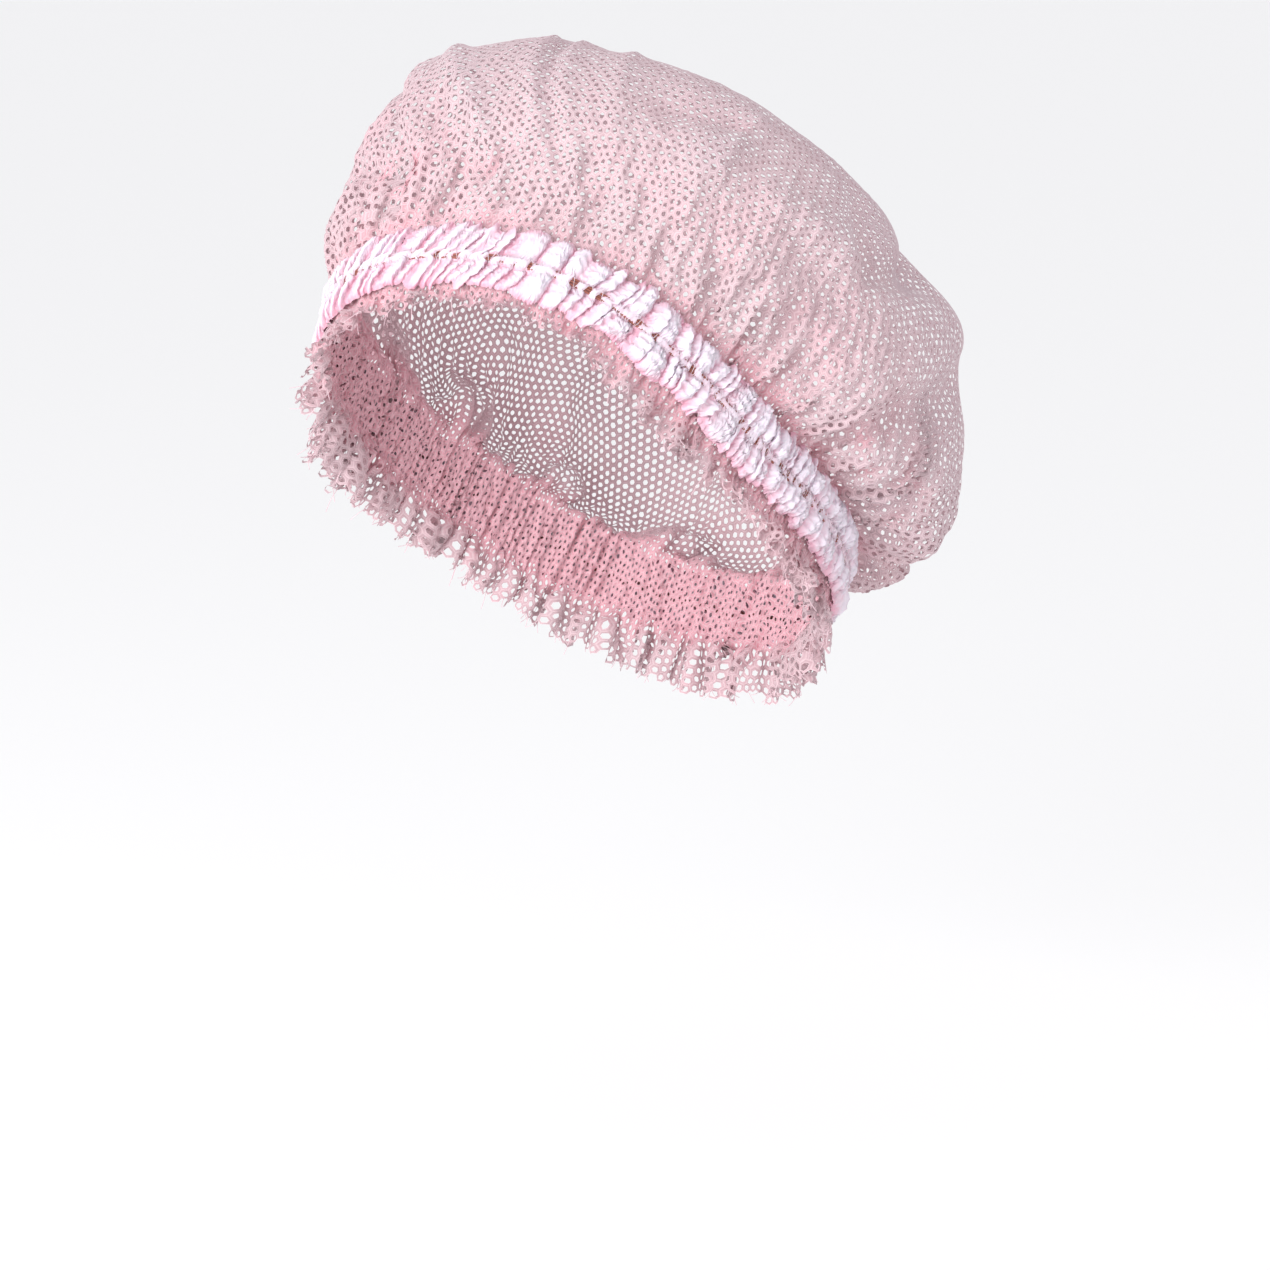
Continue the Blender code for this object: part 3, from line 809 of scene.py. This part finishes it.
def pleated(drawn, above):
    """Pleats of uneven width, one of them broad above the line and split below it: which pleat
    holds each place, the place's share across it, and the turns at which the pleats begin."""
    widths = chance.lognormal(0, PLEAT_UNEVEN, PLEATS)
    begins = np.cumsum(widths) / widths.sum() * math.tau
    widths *= 1 + (FOREHEAD_PLEATS - 1) * at_forehead(begins)
    broad = np.searchsorted(begins, BROAD_PLEAT_TURN)
    widths[broad] = BROAD_PLEAT
    begins = np.concatenate(([0], np.cumsum(widths)))
    begins *= math.tau / begins[-1]
    which = np.clip(np.searchsorted(begins, drawn, side="right") - 1, 0, PLEATS - 1)
    local = (drawn - begins[which]) / (begins[which + 1] - begins[which])
    return which, np.where((which == broad) & ~above, local * BROAD_PLEAT_SPLITS % 1, local), begins


def crumpled(places):
    """How far sharp, shallow creases running every way move each place, for a rise of 1."""
    move = np.zeros(places.shape)
    lengths, starts = chance.uniform(*CRUMPLE_LENGTH, CRUMPLES), chance.uniform(0, 1, (CRUMPLES, 3))
    for way, length, shift in zip(unit(chance.normal(size=(CRUMPLES, 3, 3))), lengths, starts):
        run = places @ way.T / length + shift
        move += 4 * np.abs(run - np.floor(run) - 0.5) - 1
    return move / math.sqrt(CRUMPLES)


def puffed_tape(material):
    """The film tape: a strip gathered to less than half its length and sewn down along the
    pinched line, so that it stands up in leaning pleats above and below the elastic."""
    turn = np.arange(TAPE_COLUMNS) / TAPE_COLUMNS * math.tau
    front = at_forehead(turn)
    share = np.linspace(0, 1, TAPE_ROWS + 1)[:, None]
    across = (LOWER_SIDE.edge + share * (UPPER_SIDE.edge - LOWER_SIDE.edge)) * MM
    above = across > 0
    slant = SLANT_AT_FOREHEAD * front + SLANT_STRAY * wander(turn, 2, 14)
    stray = np.where(above, wander(turn, 20, 50), wander(turn, 20, 50)) * PLEAT_STRAY
    stray = stray * (across / UPPER_SIDE.edge / MM) ** 2
    drawn = (turn + (stray - slant * across) / BAND_RADIUS) % math.tau
    which, local, begins = pleated(drawn, above)

    # Each pleat has its own peak, and on each side its own height, start, end and lean
    peak = PEAK_AT_FOREHEAD * front + (1 - front) * chance.uniform(*PEAKS, PLEATS)[which]
    fold = np.sin(math.pi * local ** (math.log(0.5) / np.log(peak))) ** FLAT_TOP_ALONG

    def of_side(lowest, highest):
        return np.where(above, chance.uniform(lowest, highest, PLEATS)[which],
                        chance.uniform(lowest, highest, PLEATS)[which])

    edge, valley, tall = (np.where(above, high, low) * MM for high, low in zip(UPPER_SIDE, LOWER_SIDE))
    edge = np.abs(edge)
    end = valley + (edge * of_side(*PLEAT_ENDS) - valley) * fold ** 0.5
    out = np.abs(across) / edge
    away = out * end
    start = of_side(*PLEAT_STARTS) * MM
    climb = np.clip((away - start) / (end - start), 0, 1)
    puff = np.sin(math.pi * climb ** PEAK_NEAR_LINE) ** FLAT_TOP_ACROSS
    rise = tall * of_side(*PLEAT_HEIGHTS) * fold * puff
    lean = rise * (LEAN_AT_FOREHEAD * front + (1 - front) * of_side(*PLEAT_LEANS))

    slits = chance.choice(begins[1:-1], SLITS, replace=False)
    near = np.abs((drawn[..., None] - slits + math.pi) % math.tau - math.pi) * BAND_RADIUS
    parted = np.exp(-(near / (chance.uniform(*SLIT_WIDTHS, SLITS) * MM)) ** 4).max(-1)
    cover = np.clip(COVER_REACH - np.abs(across) / GROOVE_HALF, 0, 1)
    bridge = COVER_RISE * (COVER_IN_VALLEYS + (1 - COVER_IN_VALLEYS) * fold)
    rise = np.maximum(rise, cover * (bridge + COVER_AT_FOREHEAD * front * fold)) * (1 - parted * cover)
    tuck = TAPE_TUCK * np.clip(TUCK_STEEPNESS * out - (TUCK_STEEPNESS - 1), 0, 1) ** 2
    rise = rise - VALLEY_DEPTH * (1 - fold) * (1 - cover) - tuck
    turns = turn + lean / BAND_RADIUS
    place = np.where(above, away, -away)
    ground = beside_band(turns, np.full(turns.shape, TAPE_SEAT), place)
    outward = unit(ground - FORM_CENTRE)
    places = beside_band(turns, TAPE_SEAT + rise, place)
    loop = TAPE_LENGTH / math.tau
    flat = np.stack((loop * np.cos(turn) + 0 * share, loop * np.sin(turn) + 0 * share,
                     share * TAPE_WIDTH + 0 * turn), -1)
    held = np.broadcast_to(np.abs(across) < SEWN_HALF, turns.shape)
    away = np.where(np.abs(across) < GROOVE_HALF, *TAPE_ROOM)[..., None] * MM + 0 * turns[..., None]
    places = settle(places, flat, outward, TAPE_TIES, (away, away), held, TAPE_START, 0, TAPE_ROUNDS)
    crisp = np.interp(front, (0, 1), CRUMPLE_RISE[::-1]) * (1 - CRUMPLE_LESS_ON_COVER * cover)
    places = places + crumpled(places) * crisp[..., None]
    # How high each place stands on its pleat, 0 in the valleys to 1 on the crests, which the film's painted
    # shade reads
    crest = np.clip(((places - ground) * outward).sum(-1) / (UPPER_SIDE.tall * MM), 0, 1)
    return wrapped_sheet("puffed_tape", places, crest, material)


def elastic_threads(material):
    """Round covered threads, side by side round the opening."""
    turn = np.arange(THREAD_STEPS) / THREAD_STEPS * math.tau
    paths = []
    for thread in range(THREADS):
        up = (thread - (THREADS - 1) / 2) * THREAD_SPACING + THREAD_ASIDE * wander(turn, 10, 60)
        out = TAPE_SEAT + GAP + THREAD_RADIUS + THREAD_OUT * wander(turn, 10, 60)
        paths.append(beside_band(turn, out, up))
    return yarns("elastic_threads", paths, THREAD_RADIUS, True, material)


def zigzag_stitches(material):
    """The sewing thread that crosses the elastic from side to side all the way round."""
    turn = np.arange(4 * STITCHES) / (4 * STITCHES) * math.tau
    side = np.tile(STITCH_SIDES, STITCHES)
    out = TAPE_SEAT + COVER_RISE + np.tile(STITCH_RISES, STITCHES) * MM
    path = beside_band(turn + STITCH_STRAY * wander(turn, 20, 90), out, side * STITCH_REACH)
    return yarns("zigzag_stitches", [path], STITCH_RADIUS, True, material)


def linear(code):
    """An sRGB hex colour as linear red, green, blue and a full alpha."""
    parts = [int(code[place:place + 2], 16) / 255 for place in (1, 3, 5)]
    return (*(part / 12.92 if part <= 0.04045 else ((part + 0.055) / 1.055) ** 2.4 for part in parts), 1)


def add_node(tree, kind, inputs=None, **settings):
    """A node with its settings, each input set to a value or linked from another's output."""
    node = tree.nodes.new(kind)
    for name, value in settings.items():
        setattr(node, name, value)
    for name, value in (inputs or {}).items():
        if isinstance(value, bpy.types.NodeSocket):
            tree.links.new(value, node.inputs[name])
        else:
            node.inputs[name].default_value = value
    return node


def scale_for(size):
    """The scale of a noise whose patches are this many millimetres across."""
    return 1 / (size * MM)


def new_material(name):
    material = bpy.data.materials.new(name)
    material.use_nodes = True
    return material, material.node_tree, material.node_tree.nodes["Principled BSDF"]


def polyester_warp_knit():
    """Matt polyester yarn, warp knitted and heat set, tinted pink: soft and a little fuzzy,
    with fine yarns lying side by side in each strip, and a painted highlight along the yarn round
    each hole. Its cloudy tint is 40 mm across and is painted a deeper pink where the net is bunched,
    as painted light bounced between its folds. Its fuzz, really 0.1 mm, is drawn at 0.5 mm so that it
    shows."""
    material, tree, shader = new_material("polyester_warp_knit")
    place = add_node(tree, "ShaderNodeTexCoord").outputs["Object"]
    run = add_node(tree, "ShaderNodeUVMap", uv_map="yarn_run").outputs["UV"]
    cloudy = add_node(tree, "ShaderNodeTexNoise", {"Vector": place, "Scale": scale_for(41.7)})
    gather = add_node(tree, "ShaderNodeAttribute", attribute_name="gather")
    # Painted light: where the net is bunched its tint runs to a deeper pink, for light bounced between its
    # crowded folds, over its own cloudy tint
    bunched = add_node(tree, "ShaderNodeMath", operation="MULTIPLY_ADD",
                       inputs={0: cloudy.outputs["Fac"], 1: 0.35, 2: gather.outputs["Fac"]})
    tint = add_node(tree, "ShaderNodeValToRGB", {"Fac": bunched.outputs[0]})
    stops = tint.color_ramp.elements
    stops[0].position, stops[0].color = 0.1, linear("#B79EA6")
    stops[1].position, stops[1].color = 1.0, linear("#DB9FAB")
    middle = stops.new(0.35)
    middle.color = linear("#C2A7AD")
    split = add_node(tree, "ShaderNodeSeparateXYZ", {"Vector": run})
    yarns_across = add_node(tree, "ShaderNodeMath", {0: split.outputs["Y"], 1: math.tau},
                            operation="MULTIPLY")
    ridge = add_node(tree, "ShaderNodeMath", {0: yarns_across.outputs[0]}, operation="COSINE")
    fuzz = add_node(tree, "ShaderNodeTexNoise", {"Vector": place, "Scale": scale_for(0.556),
                                                 "Detail": 1.0})
    height = add_node(tree, "ShaderNodeMath", {0: fuzz.outputs["Fac"], 1: 1.4, 2: ridge.outputs[0]},
                      operation="MULTIPLY_ADD")
    # Painted highlight: the yarn is mixed towards pale pink along the edges of each strip, round the holes,
    # for light catching the yarn there
    painted_highlight = add_node(tree, "ShaderNodeMapRange", {"Value": ridge.outputs[0], "From Min": -1.0,
                                                  "From Max": 1.0, "To Min": 0.0, "To Max": 0.6})
    colour = add_node(tree, "ShaderNodeMix", {"Factor": painted_highlight.outputs["Result"], "A": tint.outputs["Color"],
                                              "B": linear("#E2CBCF")}, data_type="RGBA")
    bump = add_node(tree, "ShaderNodeBump", {"Height": height.outputs[0], "Strength": 0.3,
                                             "Distance": 0.1 * MM})
    tree.links.new(colour.outputs["Result"], shader.inputs["Base Color"])
    tree.links.new(bump.outputs["Normal"], shader.inputs["Normal"])
    shader.inputs["Roughness"].default_value = 0.8
    shader.inputs["Sheen Weight"].default_value = 0.15
    shader.inputs["Sheen Roughness"].default_value = 0.5
    return material


def polyester_thread(name, light, dark, patch):
    """Spun polyester thread, dull, with a tint that changes a little every patch of mm."""
    material, tree, shader = new_material(name)
    place = add_node(tree, "ShaderNodeTexCoord").outputs["Object"]
    patchy = add_node(tree, "ShaderNodeTexNoise", {"Vector": place, "Scale": scale_for(patch)})
    tint = add_node(tree, "ShaderNodeValToRGB", {"Fac": patchy.outputs["Fac"]})
    tint.color_ramp.elements[0].color = linear(dark)
    tint.color_ramp.elements[1].color = linear(light)
    tree.links.new(tint.outputs["Color"], shader.inputs["Base Color"])
    shader.inputs["Roughness"].default_value = 0.75
    return material


def polypropylene_film():
    """Soft polypropylene film tape with a satin gloss: white with a lavender cast on its crests and painted
    pink in its valleys, a painted shade for the shade between its pleats and the light that comes
    through the net behind it. Its tint changes every 4 mm, and it is crumpled every 1.5 mm or so."""
    material, tree, shader = new_material("polypropylene_film")
    place = add_node(tree, "ShaderNodeTexCoord").outputs["Object"]
    crest = add_node(tree, "ShaderNodeAttribute", attribute_name="crest")
    patchy = add_node(tree, "ShaderNodeTexNoise", {"Vector": place, "Scale": scale_for(4.17)})
    # Painted shade: the tint runs from pink in the pleats' valleys to white on their crests, read from how
    # high each place stands, over the film's own patches
    patchy_painted_shade = add_node(tree, "ShaderNodeMath", {0: patchy.outputs["Fac"], 1: 0.7, 2: crest.outputs["Fac"]},
                     operation="MULTIPLY_ADD")
    tint = add_node(tree, "ShaderNodeValToRGB", {"Fac": patchy_painted_shade.outputs[0]})
    stops = tint.color_ramp.elements
    stops[0].position, stops[0].color = 0.3, linear("#E7B2C4")
    stops[1].position, stops[1].color = 1.0, linear("#EADFEA")
    middle = stops.new(0.62)
    middle.color = linear("#E9CDDA")
    crumple = add_node(tree, "ShaderNodeTexNoise", {"Vector": place, "Scale": scale_for(1.43),
                                                    "Detail": 3.0})
    bump = add_node(tree, "ShaderNodeBump", {"Height": crumple.outputs["Fac"], "Strength": 0.4,
                                             "Distance": 0.3 * MM})
    tree.links.new(tint.outputs["Color"], shader.inputs["Base Color"])
    tree.links.new(bump.outputs["Normal"], shader.inputs["Normal"])
    shader.inputs["Roughness"].default_value = 0.4
    shader.inputs["Subsurface Weight"].default_value = 0.15
    shader.inputs["Subsurface Radius"].default_value = (1.0, 0.6, 0.7)
    shader.inputs["Subsurface Scale"].default_value = 1.0 * MM
    return material


def covered_latex():
    """Natural latex thread wound with fine yarn: reddish brown and dull, darker in patches of
    2 mm. Its winding, really 0.15 mm apart, is drawn at 0.4 mm so that it shows."""
    material, tree, shader = new_material("covered_latex")
    place = add_node(tree, "ShaderNodeTexCoord").outputs["Object"]
    patchy = add_node(tree, "ShaderNodeTexNoise", {"Vector": place, "Scale": scale_for(2.0)})
    tint = add_node(tree, "ShaderNodeValToRGB", {"Fac": patchy.outputs["Fac"]})
    tint.color_ramp.elements[0].color = linear("#7A3B2E")
    tint.color_ramp.elements[1].color = linear("#A8695A")
    wound = add_node(tree, "ShaderNodeTexNoise", {"Vector": place, "Scale": scale_for(0.385)})
    bump = add_node(tree, "ShaderNodeBump", {"Height": wound.outputs["Fac"], "Strength": 0.5,
                                             "Distance": 0.1 * MM})
    tree.links.new(tint.outputs["Color"], shader.inputs["Base Color"])
    tree.links.new(bump.outputs["Normal"], shader.inputs["Normal"])
    shader.inputs["Roughness"].default_value = 0.6
    return material


def studio():
    """A plain pale floor and soft white light from all round, with a key light above."""
    mesh = bpy.data.meshes.new("floor")
    plate = bmesh.new()
    bmesh.ops.create_circle(plate, cap_ends=True, segments=64, radius=12)
    plate.to_mesh(mesh)
    plate.free()
    material, _, shader = new_material("pale_floor")
    shader.inputs["Base Color"].default_value = linear("#FCFCFB")
    shader.inputs["Roughness"].default_value = 0.9
    floor = mesh_piece("floor", mesh, material)
    floor.location.z = FLOOR_LEVEL
    world = bpy.data.worlds.new("soft_light")
    world.use_nodes = True
    sky = world.node_tree.nodes["Background"]
    sky.inputs["Color"].default_value = linear("#FBFBFE")
    sky.inputs["Strength"].default_value = SKY_STRENGTH
    bpy.context.scene.world = world
    lamp = bpy.data.lights.new("key", "AREA")
    lamp.size = KEY_SIZE
    lamp.energy = KEY_POWER
    light = bpy.data.objects.new("key", lamp)
    light.location = KEY_PLACE
    light.rotation_euler = (-light.location).to_track_quat("-Z", "Y").to_euler()
    bpy.context.collection.objects.link(light)
    bpy.context.scene.view_settings.view_transform = "Standard"


camera_at_the_photo_angle()
studio()
net = worn_net()
net_material = polyester_warp_knit()
(net_crown, crown_area), (net_edge, edge_area) = knit(net, net_material)
ends = yarn_ends(net, polyester_thread("cut_polyester_yarn", "#F0D8DD", "#DDBAC4", 3.33))
tape = puffed_tape(polypropylene_film())
elastic = elastic_threads(covered_latex())
stitches = zigzag_stitches(polyester_thread("sewing_thread", "#F2E6EC", "#CDBBC6", 1.11))

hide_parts("net")
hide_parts("net")
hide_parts("gathered_band")
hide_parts("elastic")
for piece, slot in ((net_crown, "net"), (net_edge, "net"), (ends, "net"), (tape, "gathered_band"),
                    (stitches, "gathered_band"), (elastic, "elastic")):
    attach(piece, "root")
